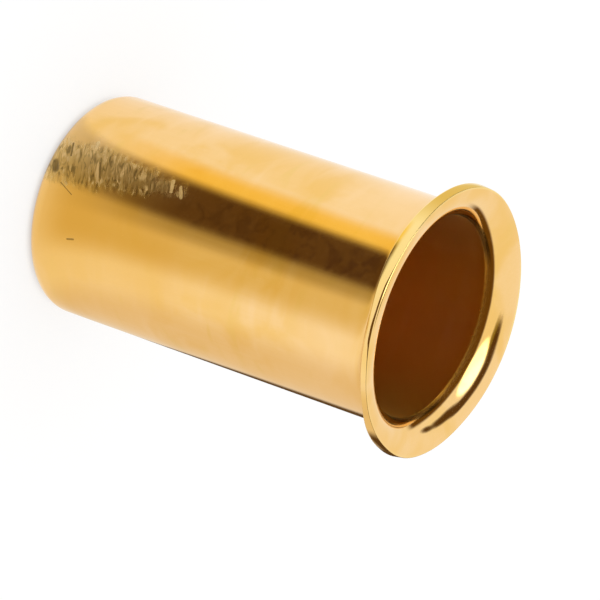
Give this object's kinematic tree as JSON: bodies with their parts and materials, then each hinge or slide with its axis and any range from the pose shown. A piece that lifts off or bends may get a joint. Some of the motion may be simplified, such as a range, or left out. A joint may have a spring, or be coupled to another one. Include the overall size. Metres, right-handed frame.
{
  "type": "tube insert",
  "caption": "Thin brass sleeve with a bell-mouthed flange and a turned-in nose, pushed into the end of a plastic tube so that the tube stays round inside a compression fitting.",
  "frame": {"origin": "centre of the nose's end face, which is the bottom of the bounding box; the insert stands on this face", "axes": "+Z along the axis from the nose to the flange; the insert is round about it, so X and Y have no direction of their own"},
  "size_m": [0.0114, 0.0114, 0.0176],
  "materials": {
    "brass": "bright drawn brass with fine scratches, a scuffed patch near the nose and light tarnish inside"
  },
  "bodies": {
    "root": {"tube_insert": "brass"}
  },
  "joints": []
}
